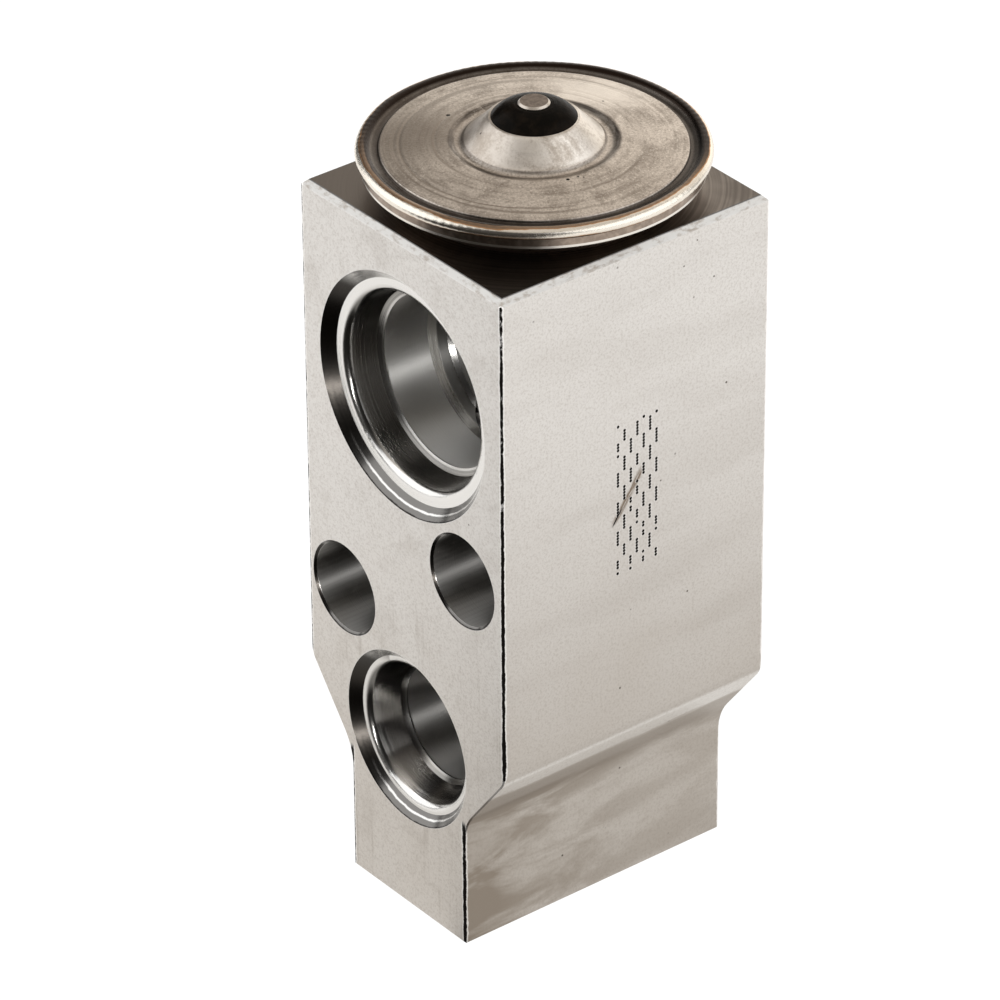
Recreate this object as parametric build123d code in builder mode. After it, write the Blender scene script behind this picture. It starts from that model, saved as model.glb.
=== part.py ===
from build123d import *
import os
from math import asin, degrees, sqrt

# Block-type thermostatic expansion valve for a vehicle's air conditioning.
# Millimetres. X runs across the port face, -Y is the port face seen first, +Z is up.
# The origin is the middle of the foot's underside, on the axis of all turned pieces.

# Extruded block with a narrow foot
block_width = 24.3
block_depth = 25.8
block_height = 60.0
foot_width = 14.2
flank_foot_height = 11.0
flank_top_height = 17.5
flank_round = 2.0
foot_round = 5.0
top_bevel = 0.5
arris_bevel = 0.12

# Suction ports: the same stepped seat on the front and the back face, over a narrower passage
suction_height = 46.4
suction_bore_radius = 7.0
suction_bore_length = 4.2
suction_shoulder_width = 0.3
suction_shoulder_length = 0.62
suction_land_length = 0.93
suction_lip = 0.35
suction_step_width = 0.55
suction_step_depth = 0.25
suction_taper_width = 0.61
suction_taper_depth = 2.5
suction_ledge_width = 1.04
suction_ledge_depth = 0.1
suction_rim_bevel = 0.9

# Liquid ports: inlet in front, outlet at the back
liquid_height = 15.5
liquid_bore_radius = 4.75
liquid_step_width = 0.3
liquid_step_depth = 0.4
liquid_taper_width = 1.03
liquid_taper_depth = 2.42
liquid_ledge_width = 0.54
liquid_ledge_depth = 0.08
liquid_rim_bevel = 0.8
seat_round = 0.7
inlet_bore_length = 4.2
inlet_drill_radius = 4.0
outlet_bore_length = 2.2

# Two clearance holes for the flange bolts, set diagonally
bolt_hole_radius = 3.75
left_bolt_offset = 7.7
left_bolt_height = 25.6
right_bolt_offset = 7.2
right_bolt_height = 33.5
bolt_hole_bevel = 0.2

# Clearances
running_gap = 0.05
seal_gap = 0.03
bonded_gap = 0.02
contact_gap = 0.02
stop_gap = 0.1
thread_gap = 0.05

# Power head: lower cover, diaphragm and upper cover, welded at the rim
head_overhang = 0.63
bead_radius = 0.62
bead_lift = 0.5
bead_wrap = 0.58
flange_overhang = 0.43
flange_thickness = 0.75
dish_rise = 2.0
shoulder_width = 0.8
neck_radius = 8.0
neck_length = 4.8
neck_bore_radius = 6.2
dish_wall_width = 1.1
head_seal_section = 0.7
groove_depth = 0.2
plate_edge_width = 1.83
plate_edge_rise = 0.7
plate_crown_rise = 1.32
plate_thickness = 0.6
diaphragm_thickness = 0.15
diaphragm_clamp_width = 1.5
wave_height = 0.2
wave_count = 3
wave_start_radius = 5.2
wave_margin = 0.9

# Charging boss in the middle of the upper cover
cone_base_radius = 5.3
cone_top_radius = 3.36
cone_rise = 1.8
moat_width = 1.1
moat_depth = 0.14
crater_lip_width = 0.26
crater_depth = 0.8
crater_slope_width = 0.7
boss_floor_thickness = 0.7
charge_pin_radius = 1.23
charge_pin_rise = 1.3
charge_pin_bevel = 0.15
sealant_rise = 1.12

# Sensing rod with its pad, seal and retainer
rod_radius = 2.5
pad_radius = 8.6
pad_thickness = 0.7
pad_land_rise = 0.15
pad_land_radius = 4.6
pad_hub_radius = 4.2
pad_hub_length = 3.25
pad_socket_depth = 3.0
gas_hole_radius = 4.8
rod_seal_section = 0.85
retainer_pocket_inset = 0.2
retainer_thickness = 0.4
retainer_pocket_drop = 0.35
retainer_bore_gap = 0.2
retainer_tooth_count = 8
retainer_slot_width = 0.7
retainer_slot_depth = 0.9
guide_length = 2.9

# Push pin, ball, carrier and the seat they close
stroke = 0.5
pin_radius = 1.2
pin_socket_depth = 1.7
pin_gap = 0.06
orifice_radius = 1.9
seat_height = 20.6
throttle_length = 5.4
ball_radius = 2.4
seat_gap = 0.08
chamber_radius = 4.7
carrier_cup_radius = 2.9
carrier_cup_drop = 1.15
carrier_cup_height = 2.0
carrier_flange_radius = 3.9
carrier_flange_thickness = 1.0
carrier_spigot_radius = 2.3
carrier_spigot_length = 1.5
cross_drill_radius = 1.7
cross_drill_rise = 4.9
cross_drill_top_height = 24.9

# Damper: a ring on the carrier with six legs along the chamber wall
damper_thickness = 0.22
damper_leg_count = 6
damper_leg_width = 1.7
damper_leg_length = 3.4
damper_wall_gap = 0.12

# Superheat spring and its adjusting screw in the foot
spring_wire_radius = 0.42
spring_coil_radius = 3.1
spring_turns = 5.0
screw_thread_radius = 5.0
screw_thread_length = 2.6
screw_groove_length = 1.5
screw_groove_depth = 1.35
screw_head_length = 0.7
screw_side_gap = 0.1
screw_spigot_length = 1.2
screw_bevel = 0.35
screw_travel_in = 1.0
screw_travel_out = 0.9
socket_across_flats = 4.0
socket_depth = 2.2

# Levels that follow from the sizes above
half_depth = block_depth / 2
head_radius = half_depth + head_overhang
flange_underside = block_height + dish_rise
flange_top = flange_underside + flange_thickness
clamp_plane = flange_top + diaphragm_thickness
flange_radius = head_radius - flange_overhang
head_seal_ring_radius = neck_radius + seal_gap + head_seal_section
seal_pocket_radius = head_seal_ring_radius + head_seal_section + seal_gap
seal_pocket_depth = 2 * head_seal_section + bonded_gap
shoulder_radius = seal_pocket_radius + shoulder_width
neck_hole_depth = neck_length + top_bevel
dish_inner_radius = flange_radius - 2 * dish_wall_width
diaphragm_radius = head_radius - bead_wrap
diaphragm_free_radius = diaphragm_radius - diaphragm_clamp_width
plate_edge_radius = head_radius - plate_edge_width
cone_base_height = clamp_plane + plate_crown_rise
cone_top_height = cone_base_height + cone_rise
crater_floor = cone_top_height - crater_depth
boss_underside = crater_floor - boss_floor_thickness
head_top = cone_top_height + charge_pin_rise
pad_top = flange_top - contact_gap
pad_disc_top = pad_top - pad_land_rise
pad_underside = pad_disc_top - pad_thickness
dish_floor = pad_underside - stroke - stop_gap
pad_hub_end = pad_underside - pad_hub_length
rod_top = pad_hub_end + pad_socket_depth
land_radius = suction_bore_radius - suction_shoulder_width
passage_radius = land_radius - suction_lip
suction_floor = suction_height - passage_radius
retainer_pocket_radius = gas_hole_radius - retainer_pocket_inset
retainer_floor = suction_floor - retainer_pocket_drop
rod_seal_radius = rod_radius + seal_gap + rod_seal_section
rod_seal_pocket_radius = rod_seal_radius + rod_seal_section + bonded_gap
rod_seal_floor = retainer_floor - 2 * rod_seal_section - bonded_gap
guide_end = rod_seal_floor - guide_length
rod_end = guide_end + stroke + stop_gap
throttle_top = seat_height + throttle_length
ball_height = seat_height - sqrt(ball_radius**2 - orifice_radius**2) - seat_gap
ball_top = ball_height + ball_radius
chamber_shoulder = seat_height - (chamber_radius - orifice_radius)
cup_apex = ball_height - (ball_radius + contact_gap) * sqrt(2)
cup_rim = ball_height - carrier_cup_drop
carrier_flange_top = cup_rim - carrier_cup_height
spring_top = carrier_flange_top - carrier_flange_thickness
screw_recess = screw_travel_out + stop_gap
thread_top = screw_recess + screw_thread_length
thread_end = thread_top + screw_travel_in + stop_gap
screw_groove_bottom = thread_end + screw_travel_out + stop_gap
screw_groove_top = screw_groove_bottom + screw_groove_length
spring_bottom = screw_groove_top + screw_head_length
screw_plain_radius = chamber_radius - screw_side_gap
screw_groove_radius = screw_plain_radius - screw_groove_depth
screw_seal_section = (chamber_radius - seal_gap - screw_groove_radius - bonded_gap) / 2
screw_seal_radius = screw_groove_radius + bonded_gap + screw_seal_section


def port_section(side, axis_height, step, taper, ledge, rim_bevel, inner):
    """Half section of a stepped seal port, from its bevelled rim inwards.

    Step, taper and ledge are (radial width, depth) pairs, met in that order from the bore.
    The rim's bevel is as wide as it is deep.
    Inner lists the bore and what lies behind it as (radius, distance from the middle) pairs.
    Side is -1 for the front face and 1 for the back face.
    """
    bore_radius = inner[0][0]
    throat_radius = bore_radius + step[0]
    seat_radius = throat_radius + taper[0]
    rim_radius = seat_radius + ledge[0] + rim_bevel
    seat_level = rim_bevel + ledge[1]
    throat_level = seat_level + taper[1]
    face = side * half_depth
    with BuildSketch(Plane.YZ) as section:
        with BuildLine():
            Polyline(
                (face, axis_height),
                (face, axis_height + rim_radius),
                (face - side * rim_bevel, axis_height + rim_radius - rim_bevel),
                (face - side * seat_level, axis_height + seat_radius),
                (face - side * throat_level, axis_height + throat_radius),
                (face - side * (throat_level + step[1]), axis_height + bore_radius),
                *[(side * distance, axis_height + radius) for radius, distance in inner],
                (side * inner[-1][1], axis_height),
                close=True,
            )
        make_face()
        seat_corner = (face - side * seat_level, axis_height + seat_radius)
        fillet(section.vertices().sort_by_distance(seat_corner)[0], seat_round)
    return section.sketch


suction_port_depth = suction_rim_bevel + suction_ledge_depth + suction_taper_depth + suction_step_depth
suction_bore_end = half_depth - suction_port_depth - suction_bore_length
suction_land_start = suction_bore_end - suction_shoulder_length
suction_land_end = suction_land_start - suction_land_length
suction_port = (
    suction_height,
    (suction_step_width, suction_step_depth),
    (suction_taper_width, suction_taper_depth),
    (suction_ledge_width, suction_ledge_depth),
    suction_rim_bevel,
    (
        (suction_bore_radius, suction_bore_end),
        (land_radius, suction_land_start),
        (land_radius, suction_land_end),
        (passage_radius, suction_land_end - suction_lip),
        (passage_radius, 0),
    ),
)
liquid_port = (
    liquid_height,
    (liquid_step_width, liquid_step_depth),
    (liquid_taper_width, liquid_taper_depth),
    (liquid_ledge_width, liquid_ledge_depth),
    liquid_rim_bevel,
)
liquid_port_depth = liquid_rim_bevel + liquid_ledge_depth + liquid_taper_depth + liquid_step_depth
inlet_bore_end = half_depth - liquid_port_depth - inlet_bore_length
inlet_inner = (
    (liquid_bore_radius, inlet_bore_end),
    (inlet_drill_radius, inlet_bore_end),
    (inlet_drill_radius, chamber_radius / 2),
)
outlet_bore_end = half_depth - liquid_port_depth - outlet_bore_length
outlet_inner = ((liquid_bore_radius, outlet_bore_end),)
suction_axis = Axis((0, 0, suction_height), (0, 1, 0))
liquid_axis = Axis((0, 0, liquid_height), (0, 1, 0))

# Valve body: an extruded and drilled block
with BuildPart() as valve_body:
    with BuildSketch(Plane.XZ) as block_outline:
        with BuildLine():
            Polyline(
                (-foot_width / 2, 0),
                (foot_width / 2, 0),
                (foot_width / 2, flank_foot_height),
                (block_width / 2, flank_top_height),
                (block_width / 2, block_height),
                (-block_width / 2, block_height),
                (-block_width / 2, flank_top_height),
                (-foot_width / 2, flank_foot_height),
                close=True,
            )
        make_face()
        fillet(block_outline.vertices().group_by(Axis.Y)[-2], flank_round)
        fillet(block_outline.vertices().group_by(Axis.Y)[1], foot_round)
    extrude(amount=half_depth, both=True)
    chamfer(valve_body.faces().sort_by(Axis.Z)[-1].edges(), top_bevel)
    arrises = ShapeList()
    for port_face in valve_body.faces().filter_by(Axis.Y):
        arrises += port_face.edges().sort_by(Axis.Z)[:-1]
    chamfer(arrises, arris_bevel)

    # Suction passage, right through, with a seal seat in each face
    for side in (-1, 1):
        add(port_section(side, *suction_port))
    revolve(axis=suction_axis, mode=Mode.SUBTRACT)

    # Liquid inlet, open to the ball chamber, and blind liquid outlet
    for side, inner in ((-1, inlet_inner), (1, outlet_inner)):
        add(port_section(side, *liquid_port, inner))
    revolve(axis=liquid_axis, mode=Mode.SUBTRACT)

    # Bolt holes
    with BuildSketch(Plane.XZ):
        with Locations((-left_bolt_offset, left_bolt_height), (right_bolt_offset, right_bolt_height)):
            Circle(bolt_hole_radius)
    extrude(amount=block_depth, both=True, mode=Mode.SUBTRACT)
    bolt_rims = ShapeList()
    for port_face in (valve_body.faces().sort_by(Axis.Y)[0], valve_body.faces().sort_by(Axis.Y)[-1]):
        bolt_rims += port_face.edges().filter_by(lambda edge: edge.is_closed).sort_by(SortBy.RADIUS)[:2]
    chamfer(bolt_rims, bolt_hole_bevel)

    # Stepped bores on the valve's axis, from the foot to the suction passage
    with BuildSketch(Plane.XZ):
        with BuildLine():
            Polyline(
                (0, 0),
                (screw_thread_radius, 0),
                (screw_thread_radius, thread_end),
                (chamber_radius, thread_end),
                (chamber_radius, chamber_shoulder),
                (orifice_radius, seat_height),
                (orifice_radius, throttle_top),
                (pin_radius + pin_gap, throttle_top),
                (pin_radius + pin_gap, guide_end),
                (rod_radius + running_gap, guide_end),
                (rod_radius + running_gap, rod_seal_floor),
                (rod_seal_pocket_radius, rod_seal_floor),
                (rod_seal_pocket_radius, retainer_floor),
                (retainer_pocket_radius, retainer_floor),
                (retainer_pocket_radius, suction_height),
                (0, suction_height),
                close=True,
            )
        make_face()
    revolve(axis=Axis.Z, mode=Mode.SUBTRACT)

    # Head thread, its seal pocket and the gas hole under the diaphragm
    with BuildSketch(Plane.XZ):
        with BuildLine():
            Polyline(
                (0, suction_height),
                (gas_hole_radius, suction_height),
                (gas_hole_radius, block_height - neck_hole_depth),
                (neck_radius, block_height - neck_hole_depth),
                (neck_radius, block_height - seal_pocket_depth),
                (seal_pocket_radius, block_height - seal_pocket_depth),
                (seal_pocket_radius, block_height),
                (0, block_height),
                close=True,
            )
        make_face()
    revolve(axis=Axis.Z, mode=Mode.SUBTRACT)

    # Inclined drilling from the outlet's bore to the space above the seat
    drill_start = Vector(0, outlet_bore_end + cross_drill_radius, liquid_height + cross_drill_rise)
    drill_end = Vector(0, 0, cross_drill_top_height)
    with BuildSketch(Plane(origin=drill_start, x_dir=(1, 0, 0), z_dir=drill_end - drill_start)):
        Circle(cross_drill_radius)
    extrude(amount=(drill_end - drill_start).length, mode=Mode.SUBTRACT)
valve_body.part.label = "valve_body"

# Lower cover: a dish with a threaded neck
with BuildPart() as lower_cover:
    with BuildSketch(Plane.XZ) as dish_section:
        with BuildLine():
            Polyline(
                (neck_bore_radius, block_height - neck_length),
                (neck_radius - thread_gap, block_height - neck_length),
                (neck_radius - thread_gap, block_height),
                (shoulder_radius, block_height),
                (flange_radius, flange_underside),
                (flange_radius, flange_top),
                (dish_inner_radius + dish_wall_width, flange_top),
                (dish_inner_radius, dish_floor),
                (neck_bore_radius, dish_floor),
                close=True,
            )
        make_face()
    revolve(axis=Axis.Z)
lower_cover.part.label = "lower_cover"

# Diaphragm: thin sheet with circular waves between its clamped rim and its flat middle
with BuildPart() as diaphragm:
    wave_pitch = (diaphragm_free_radius - wave_margin - wave_start_radius) / wave_count
    with BuildSketch(Plane.XZ):
        with BuildLine():
            for level in (flange_top, clamp_plane):
                waves = []
                for half_wave in range(2 * wave_count + 1):
                    crest = wave_height * (half_wave % 2)
                    waves.append((wave_start_radius + half_wave * wave_pitch / 2, level + crest))
                Line((0, level), waves[0])
                Spline(*waves, tangents=((1, 0), (1, 0)))
                Line(waves[-1], (diaphragm_radius, level))
            Line((0, flange_top), (0, clamp_plane))
            Line((diaphragm_radius, flange_top), (diaphragm_radius, clamp_plane))
        make_face()
    revolve(axis=Axis.Z)
diaphragm.part.label = "diaphragm"

# Upper cover: pressed plate with a welded rim bead and a charging boss
with BuildPart() as upper_cover:
    plate_edge_height = clamp_plane + plate_edge_rise
    bead_height = flange_top + bead_lift
    bead_turn = degrees(asin(bead_lift / bead_radius))
    bead_ring_radius = head_radius - bead_radius
    groove_height = plate_edge_height - groove_depth
    groove_radius = bead_ring_radius - bead_radius
    moat_radius = cone_base_radius + moat_width
    moat_height = cone_base_height - moat_depth
    cavity_edge = diaphragm_free_radius - wave_margin / 2
    cavity_height = plate_edge_height - plate_thickness + wave_height
    with BuildSketch(Plane.XZ) as cover_section:
        with BuildLine():
            bead = CenterArc((bead_ring_radius, bead_height), bead_radius, -bead_turn, 90 + bead_turn)
            Polyline((diaphragm_radius, clamp_plane), (diaphragm_radius, flange_top), bead @ 0)
            Spline(
                (bead_ring_radius, bead_height + bead_radius),
                (groove_radius, groove_height),
                (plate_edge_radius, plate_edge_height),
                tangents=((-1, 0), (-1, 0)),
            )
            Spline(
                (plate_edge_radius, plate_edge_height),
                (moat_radius, cone_base_height - moat_depth / 2),
                tangents=((-1, 0.05), (-1, 0)),
            )
            ThreePointArc(
                (moat_radius, cone_base_height - moat_depth / 2),
                ((moat_radius + cone_base_radius) / 2, moat_height - moat_depth),
                (cone_base_radius, cone_base_height),
            )
            Polyline(
                (cone_base_radius, cone_base_height),
                (cone_top_radius, cone_top_height),
                (cone_top_radius - crater_lip_width, cone_top_height),
                (cone_top_radius - crater_lip_width - crater_slope_width, crater_floor),
                (charge_pin_radius + bonded_gap, crater_floor),
                (charge_pin_radius + bonded_gap, boss_underside),
                (cone_top_radius, boss_underside),
                (cone_base_radius - plate_thickness, cone_base_height - plate_thickness),
                (cavity_edge, cavity_height),
                (diaphragm_free_radius, clamp_plane),
                (diaphragm_radius, clamp_plane),
            )
        make_face()
    revolve(axis=Axis.Z)
upper_cover.part.label = "upper_cover"

# Charge pin closing the filling hole, and the dark sealant dome around it
with BuildPart() as charge_pin:
    with BuildSketch(Plane.XY.offset(boss_underside)):
        Circle(charge_pin_radius)
    extrude(amount=head_top - boss_underside)
    chamfer(charge_pin.edges().sort_by(Axis.Z)[-1], charge_pin_bevel)
charge_pin.part.label = "charge_pin"

with BuildPart() as pin_sealant:
    sealant_bore = charge_pin_radius + bonded_gap
    sealant_top = cone_top_height + sealant_rise
    sealant_base_radius = cone_top_radius - 3 * bonded_gap
    with BuildSketch(Plane.XZ):
        with BuildLine():
            Polyline(
                (sealant_bore, sealant_top),
                (sealant_bore, crater_floor),
                (cone_top_radius - crater_lip_width - crater_slope_width, crater_floor),
                (cone_top_radius - crater_lip_width, cone_top_height),
                (sealant_base_radius, cone_top_height),
            )
            ThreePointArc(
                (sealant_base_radius, cone_top_height),
                ((sealant_base_radius + sealant_bore) / 2, cone_top_height + 0.74 * sealant_rise),
                (sealant_bore, sealant_top),
            )
        make_face()
    revolve(axis=Axis.Z)
pin_sealant.part.label = "pin_sealant"

# Seal between the head and the block
with BuildPart() as head_seal:
    with BuildSketch(Plane.XZ):
        with Locations((head_seal_ring_radius, block_height - head_seal_section - bonded_gap / 2)):
            Circle(head_seal_section)
    revolve(axis=Axis.Z)
head_seal.part.label = "head_seal"

# Pad that carries the diaphragm's push to the rod
with BuildPart() as diaphragm_pad:
    with BuildSketch(Plane.XZ):
        with BuildLine():
            Polyline(
                (0, pad_top),
                (pad_land_radius, pad_top),
                (pad_land_radius, pad_disc_top),
                (pad_radius, pad_disc_top),
                (pad_radius, pad_underside),
                (pad_hub_radius, pad_underside),
                (pad_hub_radius, pad_hub_end),
                (rod_radius + bonded_gap, pad_hub_end),
                (rod_radius + bonded_gap, rod_top),
                (0, rod_top),
                close=True,
            )
        make_face()
    revolve(axis=Axis.Z)
diaphragm_pad.part.label = "diaphragm_pad"

# Sensing rod across the suction passage
with BuildPart() as sensing_rod:
    with BuildSketch(Plane.XY.offset(rod_end)):
        Circle(rod_radius)
    extrude(amount=rod_top - contact_gap - rod_end)
    chamfer(sensing_rod.edges().filter_by(GeomType.CIRCLE), 2 * charge_pin_bevel)
    with BuildSketch(Plane.XY.offset(rod_end)):
        Circle(pin_radius + bonded_gap)
    extrude(amount=pin_socket_depth, mode=Mode.SUBTRACT)
sensing_rod.part.label = "sensing_rod"

# Push pin from the rod to the ball
with BuildPart() as push_pin:
    with BuildSketch(Plane.XY.offset(ball_top + contact_gap)):
        Circle(pin_radius)
    extrude(amount=rod_end + pin_socket_depth - contact_gap - ball_top - contact_gap)
push_pin.part.label = "push_pin"

# Rod seal in the floor of the suction passage, and the toothed ring that holds it
with BuildPart() as rod_seal:
    with BuildSketch(Plane.XZ):
        with Locations((rod_seal_radius, rod_seal_floor + bonded_gap / 2 + rod_seal_section)):
            Circle(rod_seal_section)
    revolve(axis=Axis.Z)
rod_seal.part.label = "rod_seal"

with BuildPart() as rod_seal_retainer:
    with BuildSketch(Plane.XY.offset(retainer_floor)):
        Circle(retainer_pocket_radius - bonded_gap)
        Circle(rod_radius + retainer_bore_gap, mode=Mode.SUBTRACT)
        with PolarLocations(retainer_pocket_radius - retainer_slot_depth / 2, retainer_tooth_count):
            Rectangle(retainer_slot_depth, retainer_slot_width, mode=Mode.SUBTRACT)
    extrude(amount=retainer_thickness)
rod_seal_retainer.part.label = "rod_seal_retainer"

# Ball and the cup that carries it
with BuildPart() as valve_ball:
    with Locations((0, 0, ball_height)):
        Sphere(ball_radius)
valve_ball.part.label = "valve_ball"

with BuildPart() as ball_carrier:
    cup_flat_radius = orifice_radius / 3
    with BuildSketch(Plane.XZ):
        with BuildLine():
            Polyline(
                (0, cup_apex + cup_flat_radius),
                (cup_flat_radius, cup_apex + cup_flat_radius),
                (cup_rim - cup_apex, cup_rim),
                (carrier_cup_radius, cup_rim),
                (carrier_cup_radius, carrier_flange_top),
                (carrier_flange_radius, carrier_flange_top),
                (carrier_flange_radius, spring_top),
                (carrier_spigot_radius, spring_top),
                (carrier_spigot_radius, spring_top - carrier_spigot_length),
                (0, spring_top - carrier_spigot_length),
                close=True,
            )
        make_face()
    revolve(axis=Axis.Z)
ball_carrier.part.label = "ball_carrier"

# Damper spring: six legs that rub on the chamber wall
with BuildPart() as damper_spring:
    leg_outer_radius = chamber_radius - damper_wall_gap
    with BuildSketch(Plane.XY.offset(carrier_flange_top)):
        Circle(leg_outer_radius)
        Circle(carrier_cup_radius + bonded_gap, mode=Mode.SUBTRACT)
    extrude(amount=damper_thickness)
    with BuildSketch(Plane.XY.offset(carrier_flange_top)):
        Circle(leg_outer_radius)
        Circle(leg_outer_radius - damper_thickness, mode=Mode.SUBTRACT)
        with PolarLocations(0, damper_leg_count):
            Rectangle(2 * leg_outer_radius, damper_leg_width, mode=Mode.INTERSECT)
    extrude(amount=-damper_leg_length)
damper_spring.part.label = "damper_spring"

# Superheat spring, ground flat at both ends
with BuildPart() as superheat_spring:
    spring_foot = spring_bottom + contact_gap
    spring_length = spring_top - contact_gap - spring_foot
    with BuildLine() as coil:
        Helix(spring_length / spring_turns, spring_length, spring_coil_radius, (0, 0, spring_foot))
    with BuildSketch(Plane(origin=coil.line @ 0, z_dir=coil.line % 0)):
        Circle(spring_wire_radius)
    sweep(path=coil.line, is_frenet=True)
    split(bisect_by=Plane.XY.offset(spring_foot), keep=Keep.TOP)
    split(bisect_by=Plane.XY.offset(spring_foot + spring_length), keep=Keep.BOTTOM)
superheat_spring.part.label = "superheat_spring"

# Adjusting screw with its hexagon socket, seal groove and spring spigot
with BuildPart() as adjusting_screw:
    with BuildSketch(Plane.XZ):
        with BuildLine():
            Polyline(
                (0, screw_recess),
                (screw_thread_radius - thread_gap - screw_bevel, screw_recess),
                (screw_thread_radius - thread_gap, screw_recess + screw_bevel),
                (screw_thread_radius - thread_gap, thread_top - screw_bevel),
                (screw_plain_radius, thread_top),
                (screw_plain_radius, screw_groove_bottom),
                (screw_groove_radius, screw_groove_bottom),
                (screw_groove_radius, screw_groove_top),
                (screw_plain_radius, screw_groove_top),
                (screw_plain_radius, spring_bottom),
                (carrier_spigot_radius, spring_bottom),
                (carrier_spigot_radius, spring_bottom + screw_spigot_length),
                (0, spring_bottom + screw_spigot_length),
                close=True,
            )
        make_face()
    revolve(axis=Axis.Z)
    with BuildSketch(Plane.XY.offset(screw_recess)):
        RegularPolygon(radius=socket_across_flats / 2, side_count=6, major_radius=False)
    extrude(amount=socket_depth, mode=Mode.SUBTRACT)
adjusting_screw.part.label = "adjusting_screw"

with BuildPart() as screw_seal:
    with BuildSketch(Plane.XZ):
        with Locations((screw_seal_radius, (screw_groove_bottom + screw_groove_top) / 2)):
            Circle(screw_seal_section)
    revolve(axis=Axis.Z)
screw_seal.part.label = "screw_seal"

pieces = [
    valve_body,
    lower_cover,
    diaphragm,
    upper_cover,
    charge_pin,
    pin_sealant,
    head_seal,
    diaphragm_pad,
    sensing_rod,
    push_pin,
    rod_seal,
    rod_seal_retainer,
    valve_ball,
    ball_carrier,
    damper_spring,
    superheat_spring,
    adjusting_screw,
    screw_seal,
]

os.makedirs("parts", exist_ok=True)
for piece in pieces:
    export_step(piece.part, f"parts/{piece.part.label}.step")
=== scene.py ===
from types import SimpleNamespace
import bmesh
import bpy
import numpy as np
from mathutils import Matrix, Vector


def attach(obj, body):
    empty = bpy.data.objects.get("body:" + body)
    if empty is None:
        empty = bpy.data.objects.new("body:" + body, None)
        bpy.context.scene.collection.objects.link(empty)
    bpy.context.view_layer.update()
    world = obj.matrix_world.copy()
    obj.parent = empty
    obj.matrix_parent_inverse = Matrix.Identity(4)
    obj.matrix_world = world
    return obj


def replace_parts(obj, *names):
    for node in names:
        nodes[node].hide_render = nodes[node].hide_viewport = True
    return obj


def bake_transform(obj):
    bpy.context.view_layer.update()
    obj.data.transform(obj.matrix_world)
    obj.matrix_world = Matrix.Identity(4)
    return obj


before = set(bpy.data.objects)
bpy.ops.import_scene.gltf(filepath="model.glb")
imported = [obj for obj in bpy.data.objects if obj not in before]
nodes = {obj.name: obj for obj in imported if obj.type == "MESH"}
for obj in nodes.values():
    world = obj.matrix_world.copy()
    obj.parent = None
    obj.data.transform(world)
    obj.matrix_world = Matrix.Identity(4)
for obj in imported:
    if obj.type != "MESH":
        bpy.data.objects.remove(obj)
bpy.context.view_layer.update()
mm = 0.001
print("frame loaded,", len(nodes), "nodes")

# Camera: where it stands, in mm, and its three axes from azimuth, elevation and roll, in degrees
camera = {
    "place": (354.035, -282.582, 311.054),
    "azimuth": 51.753,
    "elevation": 31.606,
    "roll": 0.4186,
    "lens": 247.555,
    "clip": (0.01, 20),  # m
}


def placeCamera(c):
    # back points from the part to the camera, right lies level and up stands square on both;
    # the roll then turns right and up about back
    azimuth, elevation, roll = np.radians([c["azimuth"], c["elevation"], c["roll"]])
    level = np.cos(elevation)
    back = np.array([np.sin(azimuth) * level, -np.cos(azimuth) * level, np.sin(elevation)])
    right = np.array([np.cos(azimuth), np.sin(azimuth), 0.0])
    up = np.cross(back, right)
    rolledRight = np.cos(roll) * right - np.sin(roll) * up
    rolledUp = np.sin(roll) * right + np.cos(roll) * up
    axes = Matrix(np.stack([rolledRight, rolledUp, back], axis=1).tolist())
    eye = bpy.data.objects.new("camera", bpy.data.cameras.new("camera"))
    bpy.context.scene.collection.objects.link(eye)
    eye.matrix_world = Matrix.Translation(Vector(c["place"]) * mm) @ axes.to_4x4()
    eye.data.lens = c["lens"]
    eye.data.clip_start, eye.data.clip_end = c["clip"]
    bpy.context.scene.camera = eye


placeCamera(camera)


def addNode(tree, kind, sources=(), output=0, **settings):
    # one node with its settings; sources are numbers, colours, vectors or other nodes' sockets
    node = tree.nodes.new("ShaderNode" + kind)
    for key, value in settings.items():
        setattr(node, key, value)
    pairs = sources.items() if isinstance(sources, dict) else enumerate(sources)
    for slot, source in pairs:
        if isinstance(source, bpy.types.NodeSocket):
            tree.links.new(source, node.inputs[slot])
        elif source is not None:
            node.inputs[slot].default_value = source
    return node.outputs[output]


def mathOf(tree, operation, *sources):
    return addNode(tree, "Math", sources, operation=operation)


def chain(tree, operation, first, others):
    # one operation carried on over all the sources
    for other in others:
        first = mathOf(tree, operation, first, other)
    return first


def times(tree, first, *others):
    return chain(tree, "MULTIPLY", first, others)


def plus(tree, first, *others):
    return chain(tree, "ADD", first, others)


def largest(tree, first, *others):
    return chain(tree, "MAXIMUM", first, others)


def minus(tree, first, second):
    return mathOf(tree, "SUBTRACT", first, second)


def scaled(tree, value, factor, offset):
    # value * factor + offset
    return mathOf(tree, "MULTIPLY_ADD", value, factor, offset)


def absolute(tree, value):
    return mathOf(tree, "ABSOLUTE", value)


def measure(tree, operation, *vectors):
    # a number got from vectors: a length, a distance or a dot product
    return addNode(tree, "VectorMath", vectors, output="Value", operation=operation)


def rangeOf(tree, value, low, high, start=0.0, end=1.0):
    # soft step from start to end while value goes from low to high
    return addNode(tree, "MapRange", (value, low, high, start, end), interpolation_type="SMOOTHSTEP")


def mixOf(tree, factor, first, second):
    return addNode(tree, "Mix", {0: factor, 6: first, 7: second}, output=2, data_type="RGBA")


def lay(tree, colour, tone, *masks):
    # the tone laid over the colour, as strongly as the product of the masks
    return mixOf(tree, times(tree, *masks), colour, tone)


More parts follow.
